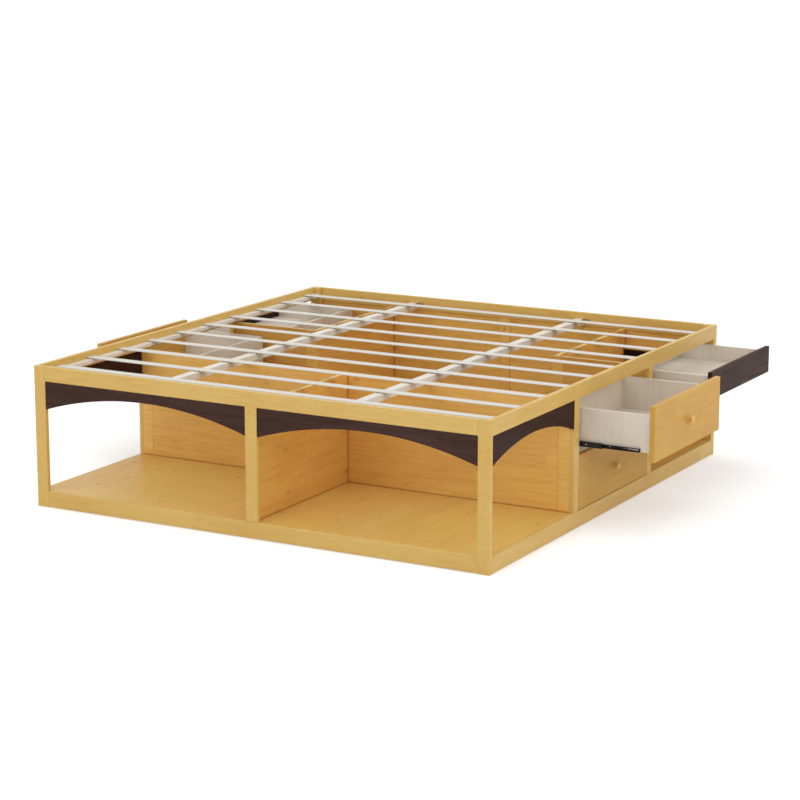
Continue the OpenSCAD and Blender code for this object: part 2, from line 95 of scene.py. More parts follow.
class BedFinish(bpy.types.PropertyGroup):
    """Colours and figure of the bed's finishes"""

    oak: colour_property("Light wood", "Lightest tone of the outside boards", (217, 184, 108))
    oak_deep: colour_property(
        "Light wood, deep", "Deepest cloud in the outside boards", (203, 157, 74))
    inside: colour_property("Inside wood", "Lightest tone of the inside panels", (233, 189, 104))
    inside_deep: colour_property("Inside wood, deep", "Deepest cloud in the panels", (214, 158, 74))
    front: colour_property(
        "Light front", "Lightest tone of the light drawer fronts", (211, 166, 84))
    front_deep: colour_property("Light front, deep", "Deepest cloud in the fronts", (188, 138, 56))
    recess: colour_property(
        "Niche wood", "Lightest tone in the niches beside the drawers", (227, 177, 93))
    recess_deep: colour_property("Niche wood, deep", "Deepest cloud in the niches", (205, 143, 61))
    planks: colour_property(
        "Foot floor", "Lightest tone of the floor of the open bays", (222, 184, 101))
    planks_deep: colour_property("Foot floor, deep", "Deepest cloud in that floor", (205, 156, 74))
    fibre: colour_property("Wood fibre", "Darkest fibres of the light wood", (166, 112, 50))
    knot: colour_property("Knot", "Heart of a small knot", (184, 92, 38))
    # Painted shade: colour laid on the light wood where pieces meet, standing in for the shade
    # there
    painted_crevice_shade: colour_property("Crevice", "Tone of the light wood where pieces meet", (172, 88, 32))
    walnut: colour_property("Dark wood", "Main tone of the valances at the foot", (78, 56, 50))
    # Painted shade: a darker copy of the dark wood for the pieces on the sides, which face the side
    # lamp
    walnut_side_shaded: colour_property(
        "Dark side wood", "Main tone of the dark pieces on the sides", (60, 37, 30))
    walnut_deep: colour_property("Dark wood, deep", "Dark streaks of the dark wood", (44, 27, 22))
    board: colour_property("Drawer board", "Main tone of the drawer boxes", (221, 212, 198))
    board_line: colour_property(
        "Drawer board line", "Grain lines of the drawer boxes", (198, 184, 164))
    paint: colour_property("Rail paint", "Off-white of ledgers and long rails", (224, 219, 208))
    slat_paint: colour_property("Slat paint", "Off-white of the slats", (208, 205, 196))
    runner: colour_property("Runner coat", "Black coat of the runners", (17, 15, 15))
    bracket: colour_property("Bracket coat", "Brown-grey coat of the rails' brackets",
                             (156, 127, 98))
    # Painted shadow: the pads under the slats stand in for the shade there and wear its tone
    pad: colour_property("Pad", "Plastic of the pads under the slats", (134, 123, 108))
    glide: colour_property("Glide", "Dark plastic of the glide", (58, 54, 50))
    stave_length: length_property("Stave length", "Usual length of a stave in the boards", 0.46)
    stave_width: length_property("Stave width", "Width of a stave in the boards", 0.094)
    knot_spacing: length_property("Knot spacing", "Usual distance between knots inside", 0.34)
    clear_spacing: length_property("Knot spacing outside", "The same in the outside boards", 0.9)
    # Reach of that painted shade where pieces meet
    crevice_shade_reach: length_property("Crevice reach", "How far the crevice tone spreads", 0.011)


class BedFittings(bpy.types.PropertyGroup):
    """Sizes of the slats and small fittings"""

    slat_edge: length_property("Slat edge", "Radius on the long edges of a slat", 0.0016)
    ball: length_property("Ball", "Diameter of a runner ball", 0.0022)
    ball_pitch: length_property("Ball pitch", "Distance between balls in a cage", 0.0074)
    balls: IntProperty(name="Balls", description="Balls in one row of a cage", min=2, default=16)
    rivet: length_property("Rivet", "Diameter of the stop rivet of a middle member", 0.0044)
    cage: length_property("Cage", "Thickness of a ball cage", 0.0004)
    screw: length_property("Screw head", "Diameter of a screw head", 0.0068)
    cap: length_property("Screw cap", "Diameter of a screw cap on the ledgers", 0.009)
    caps: IntProperty(name="Caps", description="Screw caps on one ledger", min=2, default=8)


class BedStage(bpy.types.PropertyGroup):
    """Camera, light and floor"""

    azimuth: FloatProperty(
        name="Azimuth", description="Turn of the camera to the right of the foot", subtype="ANGLE",
        default=math.radians(29.182))
    pitch: FloatProperty(
        name="Pitch", description="Tilt of the camera down from level", subtype="ANGLE",
        default=math.radians(12.334))
    eye: FloatVectorProperty(
        name="Camera place", description="Where the camera stands", subtype="TRANSLATION",
        unit="LENGTH", size=3, default=(4.6665, -8.2748, 2.4046))
    focal: FloatProperty(
        name="Focal length",
        description="Focal length of the lens in millimetres, on a 36 mm sensor", min=1.0,
        default=108.48)
    sky: FloatProperty(
        name="Sky", description="Strength of the soft light from all round", min=0.0,
        default=0.80)
    key: FloatProperty(
        name="Key", description="Power of the front lamp in watts", unit="POWER", min=0.0,
        default=182.0)
    side: FloatProperty(
        name="Side", description="Power of the side lamp in watts", unit="POWER", min=0.0,
        default=184.0)
    top: FloatProperty(
        name="Top", description="Power of the lamp overhead in watts", unit="POWER", min=0.0,
        default=90.0)
    floor: colour_property("Floor", "Pale floor of the studio", (232, 232, 232))
    floor_lift: FloatProperty(
        name="Floor lift", description="Light added to the near floor as the camera sees it",
        min=0.0, default=0.34)
    far_lift: FloatProperty(
        name="Far floor lift", description="Light added to the far floor as the camera sees it",
        min=0.0, default=0.4)


# ---- Node trees ----


class Web:
    """Short ways to place and join the nodes of one tree."""

    def __init__(self, tree):
        self.nodes, self.links = tree.nodes, tree.links

    def feed(self, value, socket):
        """Links a socket, or sets a value."""
        if isinstance(value, bpy.types.NodeSocket):
            self.links.new(value, socket)
        else:
            socket.default_value = value

    def node(self, kind, inputs=(), **settings):
        made = self.nodes.new(kind)
        for name, value in settings.items():
            setattr(made, name, value)
        for socket, value in dict(inputs).items():
            self.feed(value, made.inputs[socket])
        return made

    def math(self, operation, a, b=0.0, clamp=False):
        return self.node(
            "ShaderNodeMath", {0: a, 1: b}, operation=operation, use_clamp=clamp).outputs[0]

    def vector(self, operation, a, b=(0.0, 0.0, 0.0)):
        return self.node("ShaderNodeVectorMath", {0: a, 1: b}, operation=operation).outputs[0]

    def combine(self, x, y, z):
        return self.node("ShaderNodeCombineXYZ", {0: x, 1: y, 2: z}).outputs[0]

    def separate(self, vector):
        return self.node("ShaderNodeSeparateXYZ", {0: vector}).outputs[:3]

    def mix(self, share, a, b):
        made = self.node("ShaderNodeMix", data_type="RGBA")
        for socket, value in ((0, share), (6, a), (7, b)):
            self.feed(value, made.inputs[socket])
        return made.outputs[2]

    def range(self, value, low, high, to_low=0.0, to_high=1.0):
        """value from low..high to to_low..to_high, held at both ends."""
        return self.node("ShaderNodeMapRange", {
            "Value": value, "From Min": low, "From Max": high,
            "To Min": to_low, "To Max": to_high}).outputs[0]

    def noise(self, vector, detail=2.0, roughness=0.5):
        return self.node("ShaderNodeTexNoise", {
            "Vector": vector, "Scale": 1.0, "Detail": detail, "Roughness": roughness}).outputs[0]


def new_group(name, kind, inputs, outputs):
    """An empty node group with those sockets, given as (name, type) or (name, type, default)."""
    tree = bpy.data.node_groups.new(name, kind)
    for direction, sockets in (("INPUT", inputs), ("OUTPUT", outputs)):
        for socket in sockets:
            made = tree.interface.new_socket(socket[0], in_out=direction, socket_type=socket[1])
            if len(socket) > 2:
                made.default_value = socket[2]
    return tree


VALUE, VECTOR = "NodeSocketFloat", "NodeSocketVector"


def board_figure_group():
    """Figure of a glued board. Its vector runs along the grain, across it and into the board, in
    metres."""
    tree = new_group(
        "board_figure", "ShaderNodeTree",
        [("Vector", VECTOR), ("Stave Length", VALUE, 0.5), ("Stave Width", VALUE, 0.1),
         ("Knot Spacing", VALUE, 0.4), ("Seed", VALUE, 0.0)],
        [(name, VALUE) for name in ("Stave", "Joint", "Clouds", "Bands", "Fibres", "Knots")])
    w = Web(tree)
    given = w.node("NodeGroupInput").outputs
    shift = w.vector("MULTIPLY", w.combine(*[given["Seed"]] * 3), (3.71, 1.93, 2.37))
    along, across, into = w.separate(w.vector("ADD", given["Vector"], shift))

    # Staves: rows of a width, each cut at places of its own
    rows = w.math("DIVIDE", across, given["Stave Width"])
    row = w.math("FLOOR", rows)
    start = w.node("ShaderNodeTexWhiteNoise", {"W": row}, noise_dimensions="1D").outputs["Value"]
    cuts = w.math("ADD", w.math("DIVIDE", along, given["Stave Length"]), start)
    layer = w.math("FLOOR", w.math("DIVIDE", into, 0.21))
    cell = w.combine(w.math("FLOOR", cuts), row, layer)
    dice = w.node("ShaderNodeTexWhiteNoise", {"Vector": cell}, noise_dimensions="3D")
    gaps = []
    for count, size in ((rows, given["Stave Width"]), (cuts, given["Stave Length"])):
        part = w.math("PINGPONG", count, 0.5)
        gaps.append(w.range(w.math("MULTIPLY", part, size), 0.0002, 0.0012, 1.0, 0.0))
    joint = w.math("MAXIMUM", *gaps)

    # Grain: the same noise stretched to clouds, bands and fibres, broken at each stave
    jump = w.vector("MULTIPLY", dice.outputs["Color"], (4.0, 1.0, 1.0))
    grain = w.vector("ADD", w.combine(along, across, into), jump)
    wave = w.noise(w.vector("MULTIPLY", grain, (3.0, 9.0, 9.0)), 1.0)
    bent = w.vector("ADD", grain, w.combine(0.0, w.range(wave, 0.0, 1.0, -0.012, 0.012), 0.0))
    whole = w.vector("MULTIPLY", w.combine(along, across, into), (1.9, 5.5, 5.5))
    clouds = w.range(w.noise(whole, 2.0), 0.3, 0.7)
    bands = w.range(w.noise(w.vector("MULTIPLY", bent, (6.0, 70.0, 70.0)), 2.0), 0.32, 0.68)
    fine = w.vector("MULTIPLY", bent, (24.0, 330.0, 330.0))
    fibres = w.range(w.noise(fine, 2.0, 0.6), 0.47, 0.72)

    # Knots: one small soft oval in a cell, or none
    spread = w.math("MULTIPLY", given["Knot Spacing"], 0.55)
    place = w.combine(
        w.math("DIVIDE", along, given["Knot Spacing"]), w.math("DIVIDE", across, spread), 0.0)
    cells = w.node("ShaderNodeTexVoronoi", {"Vector": place, "Scale": 1.0}, voronoi_dimensions="2D")
    size = w.math("MULTIPLY", w.separate(cells.outputs["Color"])[0], 0.05)
    oval = w.math("SUBTRACT", size, cells.outputs["Distance"])
    knots = w.range(oval, -0.03, 0.02)

    given_out = w.node("NodeGroupOutput")
    for name, value in (
            ("Stave", dice.outputs["Value"]), ("Joint", joint), ("Clouds", clouds),
            ("Bands", bands), ("Fibres", fibres), ("Knots", knots)):
        w.feed(value, given_out.inputs[name])
    return tree


def coat_grain_group():
    """Fine unevenness of a coat of paint, powder or plastic: a mask and a height."""
    tree = new_group(
        "coat_grain", "ShaderNodeTree",
        [("Vector", VECTOR), ("Grain Size", VALUE, 0.001), ("Patch Size", VALUE, 0.05)],
        [("Grain", VALUE), ("Patches", VALUE)])
    w = Web(tree)
    given = w.node("NodeGroupInput").outputs
    made = []
    for size in ("Grain Size", "Patch Size"):
        scale = w.math("DIVIDE", 1.0, given[size])
        scaled = w.vector("MULTIPLY", given["Vector"], w.combine(scale, scale, scale))
        made.append(w.range(w.noise(scaled, 3.0, 0.55), 0.3, 0.7))
    given_out = w.node("NodeGroupOutput")
    w.feed(made[0], given_out.inputs["Grain"])
    w.feed(made[1], given_out.inputs["Patches"])
    return tree


def shared_group(name):
    """The named shader group, built when it is first asked for."""
    makers = {"board_figure": board_figure_group, "coat_grain": coat_grain_group}
    return bpy.data.node_groups.get(name) or makers[name]()


def new_material(name, tone):
    """(material, web, Principled BSDF) with a viewport colour."""
    material = bpy.data.materials.new(name)
    material.use_nodes = True
    material.diffuse_color = (*tone, 1.0)
    return material, Web(material.node_tree), material.node_tree.nodes["Principled BSDF"]


def board_coordinates(w, grain):
    """Object coordinates turned to (along the grain, across it, into the board)."""
    place = w.node("ShaderNodeTexCoord").outputs["Object"]
    x, y, z = w.separate(place)
    if grain == "x":
        return w.combine(x, z, y)
    if grain == "y":
        return w.combine(y, z, x)
    if grain == "floor":
        return w.combine(y, x, z)
    round_the_corner = w.math("ADD", x, y)
    back = w.math("SUBTRACT", x, y)
    if grain == "round":
        return w.combine(round_the_corner, z, back)
    return w.combine(z, round_the_corner, back)


def figure_node(w, grain, seed, stave_length, stave_width, knot_spacing):
    made = w.node("ShaderNodeGroup", node_tree=shared_group("board_figure"))
    w.feed(board_coordinates(w, grain), made.inputs["Vector"])
    made.inputs["Stave Length"].default_value = stave_length
    made.inputs["Stave Width"].default_value = stave_width
    made.inputs["Knot Spacing"].default_value = knot_spacing
    made.inputs["Seed"].default_value = seed
    return made.outputs


def colour4(colour):
    return (*colour, 1.0)


def add_bump(w, shader, height, distance, strength=1.0):
    bump = w.node("ShaderNodeBump", {"Height": height, "Distance": distance, "Strength": strength})
    w.feed(bump.outputs["Normal"], shader.inputs["Normal"])


def light_wood(name, grain, finish, tone, deep, seed, inside=False, bands=0.3, crevice_shade_strength=0.7,
               gloss=0.28, lit_top_tone=None, stave_width=None):
    """Satin lacquered light wood with staves, clouds, fibres and small knots, with painted shade
    where pieces meet, and painted light as another tone on its upward faces where one is given."""
    material, w, shader = new_material(name, tone)
    figure = figure_node(
        w, grain, seed, finish.stave_length, stave_width or finish.stave_width,
        finish.knot_spacing if inside else finish.clear_spacing)
    shade = w.math("MULTIPLY", figure["Stave"], 0.2)
    shade = w.math("ADD", shade, w.math("MULTIPLY", figure["Clouds"], 0.25))
    shade = w.math("ADD", shade, w.math("MULTIPLY", figure["Bands"], bands))
    colour = w.mix(shade, colour4(tone), colour4(deep))
    fibres = w.math("MULTIPLY", figure["Fibres"], w.range(
        figure["Bands"], 0.0, 1.0, 0.07, 0.3 if inside else 0.2))
    colour = w.mix(fibres, colour, colour4(finish.fibre))
    joint = w.math("MULTIPLY", figure["Joint"], 0.16 if inside else 0.05)
    colour = w.mix(joint, colour, colour4(finish.fibre))
    knots = w.math("MULTIPLY", figure["Knots"], 0.45 if inside else 0.2)
    colour = w.mix(knots, colour, colour4(finish.knot))
    # Painted light: faces turned upward take the lighter tone, as light from above falls on them
    if lit_top_tone is not None:
        upward = w.separate(w.node("ShaderNodeTexCoord").outputs["Normal"])[2]
        colour = w.mix(w.range(upward, 0.8, 0.9), colour, colour4(lit_top_tone))
    # Painted shade: ambient occlusion darkens the wood toward the crevice tone in corners and
    # narrow gaps
    crevice_occlusion = w.node("ShaderNodeAmbientOcclusion", {"Distance": finish.crevice_shade_reach}, samples=8)
    painted_crevice_shade = w.range(crevice_occlusion.outputs["AO"], 0.5, 0.85, crevice_shade_strength, 0.0)
    w.feed(w.mix(painted_crevice_shade, colour, colour4(finish.painted_crevice_shade)), shader.inputs["Base Color"])
    w.feed(w.range(figure["Fibres"], 0.0, 1.0, 0.36, 0.48), shader.inputs["Roughness"])
    shader.inputs["Specular IOR Level"].default_value = gloss
    height = w.math("SUBTRACT", 1.0, w.math("MAXIMUM", figure["Fibres"], figure["Joint"]))
    add_bump(w, shader, height, 0.0001, 0.6)
    return material


def dark_wood(name, grain, finish, tone, seed):
    """Dark stained wood under a satin lacquer, with fine streaks along its grain."""
    material, w, shader = new_material(name, tone)
    figure = figure_node(w, grain, seed, 2.4, 0.31, 4.0)
    shade = w.math("MULTIPLY", figure["Bands"], 0.35)
    shade = w.math("ADD", shade, w.math("MULTIPLY", figure["Clouds"], 0.2))
    shade = w.math("ADD", shade, w.math("MULTIPLY", figure["Fibres"], 0.4))
    w.feed(w.mix(shade, colour4(tone), colour4(finish.walnut_deep)),
           shader.inputs["Base Color"])
    w.feed(w.range(figure["Bands"], 0.0, 1.0, 0.34, 0.46), shader.inputs["Roughness"])
    shader.inputs["Specular IOR Level"].default_value = 0.05
    add_bump(w, shader, w.math("SUBTRACT", 1.0, figure["Fibres"]), 0.0001, 0.5)
    return material


def drawer_board(name, finish):
    """Pale printed board: fine upright grain lines under a matt coat."""
    material, w, shader = new_material(name, finish.board)
    figure = figure_node(w, "upright", 4.0, 3.0, 0.5, 9.0)
    shade = w.math("MULTIPLY", figure["Bands"], 0.25)
    shade = w.math("ADD", shade, w.math("MULTIPLY", figure["Fibres"], 0.2))
    shade = w.math("ADD", shade, w.math("MULTIPLY", figure["Clouds"], 0.15))
    w.feed(w.mix(shade, colour4(finish.board), colour4(finish.board_line)),
           shader.inputs["Base Color"])
    w.feed(w.range(figure["Fibres"], 0.0, 1.0, 0.42, 0.55), shader.inputs["Roughness"])
    add_bump(w, shader, w.math("SUBTRACT", 1.0, figure["Fibres"]), 0.00005, 0.5)
    return material


def coated(name, tone, worn, share, grain_size, patch_size, roughness, bump, metallic=0.0,
           gloss=0.5):
    """A coat of paint, powder or plastic, a little uneven in tone, gloss and height."""
    material, w, shader = new_material(name, tone)
    made = w.node("ShaderNodeGroup", node_tree=shared_group("coat_grain"))
    w.feed(w.node("ShaderNodeTexCoord").outputs["Object"], made.inputs["Vector"])
    made.inputs["Grain Size"].default_value = grain_size
    made.inputs["Patch Size"].default_value = patch_size
    w.feed(w.mix(w.math("MULTIPLY", made.outputs["Patches"], share), colour4(tone), colour4(worn)),
           shader.inputs["Base Color"])
    w.feed(w.range(made.outputs["Grain"], 0.0, 1.0, *roughness), shader.inputs["Roughness"])
    shader.inputs["Metallic"].default_value = metallic
    shader.inputs["Specular IOR Level"].default_value = gloss
    add_bump(w, shader, made.outputs["Grain"], bump, 0.5)
    return material


def dress(material, *nodes):
    """Gives CAD nodes a material."""
    for name in nodes:
        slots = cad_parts[name].data.materials
        slots.clear()
        slots.append(material)


# ---- Meshes ----


def as_object(name, mesh, material, body):
    """A piece with its place in its mesh, riding on a body."""
    made = bpy.data.objects.new(name, mesh)
    bpy.context.scene.collection.objects.link(made)
    if material is not None:
        mesh.materials.clear()
        mesh.materials.append(material)
    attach(made, body)
    return made


def joined(name, meshes):
    """One mesh made of several."""
    shape = bmesh.new()
    for mesh in meshes:
        shape.from_mesh(mesh)
    made = bpy.data.meshes.new(name)
    shape.to_mesh(made)
    shape.free()
    for mesh in meshes:
        bpy.data.meshes.remove(mesh)
    return made


def baked(name, mesh, tree, **inputs):
    """The mesh that a Geometry Nodes tree makes of mesh with those inputs."""
    holder = bpy.data.objects.new(name, mesh)
    bpy.context.scene.collection.objects.link(holder)
    modifier = holder.modifiers.new("made", "NODES")
    modifier.node_group = tree
    for socket in tree.interface.items_tree:
        if socket.item_type == "SOCKET" and socket.in_out == "INPUT" and socket.name in inputs:
            modifier[socket.identifier] = inputs[socket.name]
    bpy.context.view_layer.update()
    shown = holder.evaluated_get(bpy.context.evaluated_depsgraph_get())
    made = bpy.data.meshes.new_from_object(shown)
    made.name = name
    holder.modifiers.clear()
    bpy.data.objects.remove(holder)
    return made


def grid_tree():
    """Geometry Nodes tree that repeats its geometry along two lines, one across the other."""
    tree = bpy.data.node_groups.get("repeat_on_grid")
    if tree:
        return tree
    tree = new_group(
        "repeat_on_grid", "GeometryNodeTree",
        [("Geometry", "NodeSocketGeometry"), ("Count", "NodeSocketInt", 1), ("Step", VECTOR),
         ("Rows", "NodeSocketInt", 1), ("Row Step", VECTOR), ("Files", "NodeSocketInt", 1),
         ("File Step", VECTOR), ("Material", "NodeSocketMaterial")],
        [("Geometry", "NodeSocketGeometry")])
    w = Web(tree)
    given = w.node("NodeGroupInput").outputs
    shape = given["Geometry"]
    for count, step in (("Count", "Step"), ("Rows", "Row Step"), ("Files", "File Step")):
        line = w.node("GeometryNodeMeshLine", {"Count": given[count], "Offset": given[step]})
        shape = w.node("GeometryNodeInstanceOnPoints", {
            "Points": line.outputs["Mesh"], "Instance": shape}).outputs["Instances"]
    real = w.node("GeometryNodeRealizeInstances", {"Geometry": shape}).outputs[0]
    done = w.node("GeometryNodeSetMaterial", {"Geometry": real, "Material": given["Material"]})
    w.feed(done.outputs[0], w.node("NodeGroupOutput").inputs["Geometry"])
    return tree


def slat_tree():
    """Geometry Nodes tree that lays flats with rounded edges side by side."""
    tree = new_group(
        "slat_row", "GeometryNodeTree",
        [("Geometry", "NodeSocketGeometry"), ("Count", "NodeSocketInt", 10),
         ("First", VECTOR), ("Step", VECTOR), ("Length", VALUE, 1.9), ("Width", VALUE, 0.04),
         ("Thickness", VALUE, 0.004), ("Edge", VALUE, 0.001), ("Material", "NodeSocketMaterial")],
        [("Geometry", "NodeSocketGeometry")])
    w = Web(tree)
    given = w.node("NodeGroupInput").outputs
    outline = w.node("GeometryNodeCurvePrimitiveQuadrilateral", {
        "Width": given["Width"], "Height": given["Thickness"]}).outputs[0]
    rounded = w.node(
        "GeometryNodeFilletCurve", {"Curve": outline, "Radius": given["Edge"], "Count": 3},
        mode="POLY").outputs[0]
    half = w.math("MULTIPLY", given["Length"], 0.5)
    path = w.node("GeometryNodeCurvePrimitiveLine", {
        "Start": w.combine(w.math("MULTIPLY", half, -1.0), 0.0, 0.0),
        "End": w.combine(half, 0.0, 0.0)}).outputs[0]
    flat = w.node("GeometryNodeCurveToMesh", {
        "Curve": path, "Profile Curve": rounded, "Fill Caps": True}).outputs[0]
    line = w.node("GeometryNodeMeshLine", {
        "Count": given["Count"], "Start Location": given["First"], "Offset": given["Step"]})
    laid = w.node("GeometryNodeInstanceOnPoints", {
        "Points": line.outputs["Mesh"], "Instance": flat}).outputs["Instances"]
    real = w.node("GeometryNodeRealizeInstances", {"Geometry": laid}).outputs[0]
    done = w.node("GeometryNodeSetMaterial", {"Geometry": real, "Material": given["Material"]})
    w.feed(done.outputs[0], w.node("NodeGroupOutput").inputs["Geometry"])
    return tree


def turned_shape(profile, segments):
    """bmesh of a shape turned round Z from (radius, height) points; the ends lie on the axis."""
    shape = bmesh.new()
    rings = []
    for radius, height in profile:
        if radius == 0.0:
            rings.append([shape.verts.new((0.0, 0.0, height))])
            continue
        turn = 2 * math.pi / segments
        rings.append([
            shape.verts.new((radius * math.cos(i * turn), radius * math.sin(i * turn), height))
            for i in range(segments)])
    for lower, upper in zip(rings, rings[1:]):
        for i in range(segments):
            j = (i + 1) % segments
            if len(lower) == 1:
                shape.faces.new((lower[0], upper[j], upper[i]))
            elif len(upper) == 1:
                shape.faces.new((lower[i], lower[j], upper[0]))
            else:
                shape.faces.new((lower[i], lower[j], upper[j], upper[i]))
    return shape


def placed(shape, name, facing, place):
    """Mesh of a shape that stood on Z = 0, now standing on place and facing that way."""
    turn = Vector(facing).to_track_quat("Z", "Y").to_matrix().to_4x4()
    bmesh.ops.transform(shape, matrix=Matrix.Translation(place) @ turn, verts=shape.verts)
    made = bpy.data.meshes.new(name)
    shape.to_mesh(made)
    shape.free()
    return made


def screw_head(diameter):
    """bmesh of a pan head with a cross recess, standing on Z = 0."""
    r = diameter / 2
    profile = [(0.0, 0.0), (r, 0.0), (r, 0.22 * r), (0.9 * r, 0.46 * r), (0.62 * r, 0.62 * r),
               (0.0, 0.66 * r)]
    head = turned_shape(profile, 16)
    for turn in (0.0, math.pi / 2):
        bar = bmesh.ops.create_cube(head, size=1.0)["verts"]
        size = Matrix.Diagonal((0.95 * r, 0.2 * r, 0.12 * r, 1.0))
        place = Matrix.Translation((0.0, 0.0, 0.625 * r)) @ Matrix.Rotation(turn, 4, "Z") @ size
        bmesh.ops.transform(head, matrix=place, verts=bar)
    return head


def bar_mesh(name, section, x0, x1):
    """Prism from x0 to x1 with that section of (y, z) points."""
    shape = bmesh.new()
    ends = [[shape.verts.new((x, y, z)) for y, z in section] for x in (x0, x1)]
    shape.faces.new(ends[0])
    shape.faces.new(ends[1])
    for i in range(len(section)):
        j = (i + 1) % len(section)
        shape.faces.new((ends[0][i], ends[0][j], ends[1][j], ends[1][i]))
    bmesh.ops.recalc_face_normals(shape, faces=shape.faces)
    made = bpy.data.meshes.new(name)
    shape.to_mesh(made)
    shape.free()
    return made


# ---- Operators ----


class BED_OT_light_wood(bpy.types.Operator):
    """Give the frame, panels, floors, light fronts and knobs their light wood"""

    bl_idname = "bed.light_wood"
    bl_label = "Light wood"

    def execute(self, context):
        f = context.scene.bed_finish
        outside, inside = (f.oak, f.oak_deep), (f.inside, f.inside_deep)
        fronts, niches = (f.front, f.front_deep), (f.recess, f.recess_deep)
        dress(light_wood("light_wood_along_x", "x", f, *outside, 0.0, crevice_shade_strength=0.0), *OAK_ALONG_X)
        dress(light_wood("light_wood_along_y", "y", f, *outside, 1.0, crevice_shade_strength=0.0), *OAK_ALONG_Y)
        dress(light_wood("light_wood_posts", "round", f, *outside, 2.0, crevice_shade_strength=0.0), *OAK_ROUND)
        dress(light_wood("light_wood_fronts", "y", f, *fronts, 3.0, bands=0.22, gloss=0.1),
              *[f"{d}_front" for d in DRAWERS if "dark" not in d])
        dress(light_wood("light_wood_knobs", "x", f, *inside, 4.0, crevice_shade_strength=0.0, stave_width=0.6),
              *[f"{d}_knob" for d in DRAWERS if "dark" not in d])
        dress(light_wood("inside_wood_along_x", "x", f, *inside, 5.0, True, 0.35), *INSIDE_ALONG_X)
        dress(light_wood("inside_wood_along_y", "y", f, *inside, 6.0, True, 0.35), "base_bearers")
        dress(light_wood("inside_wood_stiles", "x", f, *inside, 7.0, True), *STILES_ALONG_X)
        dress(light_wood("inside_wood_upright", "upright", f, *inside, 9.0, True),
              "head_centre_post")
        # The niche boards' upward faces get the outside tone as painted light
        dress(light_wood("niche_wood_along_x", "x", f, *niches, 10.0, True, lit_top_tone=f.oak),
              "bay_dividers")
        dress(light_wood("niche_wood_along_y", "y", f, *niches, 11.0, True, lit_top_tone=f.oak),
              "bay_backs", "centre_divider")
        dress(light_wood("niche_wood_floors", "floor", f, *niches, 12.0, True), "side_floors")
        dress(light_wood("foot_floor_wood", "floor", f, f.planks, f.planks_deep, 8.0, True, 0.16),
              "foot_floor")
        return {"FINISHED"}


class BED_OT_dark_wood(bpy.types.Operator):
    """Give the valances and the dark drawer fronts their dark wood"""

    bl_idname = "bed.dark_wood"
    bl_label = "Dark wood"

    def execute(self, context):
        f = context.scene.bed_finish
        dress(dark_wood("dark_wood_along_x", "x", f, f.walnut, 0.0), *WALNUT_ALONG_X)
        # The side pieces and dark fronts wear the darker copy, painted shade against the side lamp
        dress(dark_wood("dark_wood_shaded_along_y", "y", f, f.walnut_side_shaded, 1.0), *WALNUT_ALONG_Y)
        return {"FINISHED"}


class BED_OT_drawer_board(bpy.types.Operator):
    """Give the drawer boxes their pale board"""

    bl_idname = "bed.drawer_board"
    bl_label = "Drawer board"

    def execute(self, context):
        dress(drawer_board("pale_drawer_board", context.scene.bed_finish),
              *[f"{d}_box" for d in DRAWERS])
        return {"FINISHED"}


class BED_OT_coats(bpy.types.Operator):
    """Give rails, ledgers, runners, brackets and the glide their coats, and the pads a painted
    shadow tone
    """

    bl_idname = "bed.coats"
    bl_label = "Coats"

    def execute(self, context):
        f = context.scene.bed_finish
        dark = linear(12, 11, 11)
        dress(coated("rail_paint", f.paint, linear(206, 199, 184), 0.5, 0.0011, 0.06, (0.38, 0.5),
                     0.00008), "slat_ledgers", "deck_rails")
        dress(coated("black_runner_coat", f.runner, dark, 0.6, 0.0007, 0.02, (0.28, 0.42), 0.00003,
                     gloss=0.25), *RUNNERS)
        dress(coated("dark_bracket_coat", f.bracket, dark, 0.4, 0.0009, 0.015, (0.4, 0.55),
                     0.00005), "rail_brackets")
        # The pads wear a painted shadow: their tone stands in for the shade under the slats
        dress(coated("pad_painted_shadow", f.pad, f.glide, 0.2, 0.0006, 0.01, (0.5, 0.65), 0.00006),
              "slat_pads")
        dress(coated("dark_glide_plastic", f.glide, dark, 0.4, 0.0006, 0.01, (0.5, 0.65),
                     0.00006), "centre_glide")
        return {"FINISHED"}


class BED_OT_slats(bpy.types.Operator):
    """Lay the slats with rounded edges in place of the plain ones"""

    bl_idname = "bed.slats"
    bl_label = "Slats"

    def execute(self, context):
        finish, sizes = context.scene.bed_finish, context.scene.bed_fittings
        coat = coated("slat_paint", finish.slat_paint, linear(214, 210, 200), 0.4, 0.0009, 0.05,
                      (0.34, 0.46), 0.00005)
        count, width, lo, hi = measured_slats()
        step = (hi.y - lo.y - width) / (count - 1)
        thickness = hi.z - lo.z
        mesh = baked(
            "slats_rounded", bpy.data.meshes.new("slats_rounded"), slat_tree(), Count=count,
            First=(0.0, lo.y + width / 2, (lo.z + hi.z) / 2), Step=(0.0, step, 0.0),
            Length=hi.x - lo.x, Width=width, Thickness=thickness, Edge=sizes.slat_edge,
            Material=coat)
        slats = as_object("slats_rounded", mesh, None, "root")
        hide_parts("slats")
        return {"FINISHED"}


def measured_slats():
    """(count, width, low corner, high corner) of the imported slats."""
    bevel, least_gap = 0.0011, 0.06
    lo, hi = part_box("slats")
    edges = sorted({round(v.co.y, 4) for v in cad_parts["slats"].data.vertices
                    if abs(v.co.z - hi.z) > bevel})
    groups, last = [], None
    for y in edges:
        if last is None or y - last > least_gap:
            groups.append([y, y])
        groups[-1][1] = last = y
    return len(groups), groups[0][1] - groups[0][0], lo, hi


def runner_facts(drawer):
    """(rear end, cabinet wall y0, wall y1, middle height, way out along x) of a middle pair."""
    lo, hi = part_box(f"{drawer}_mid_runners")
    outward = 1 if drawer.startswith("right") else -1
    rear = lo.x if outward > 0 else hi.x
    return rear, lo.y - WALL_GAP, hi.y + WALL_GAP, (lo.z + hi.z) / 2, outward


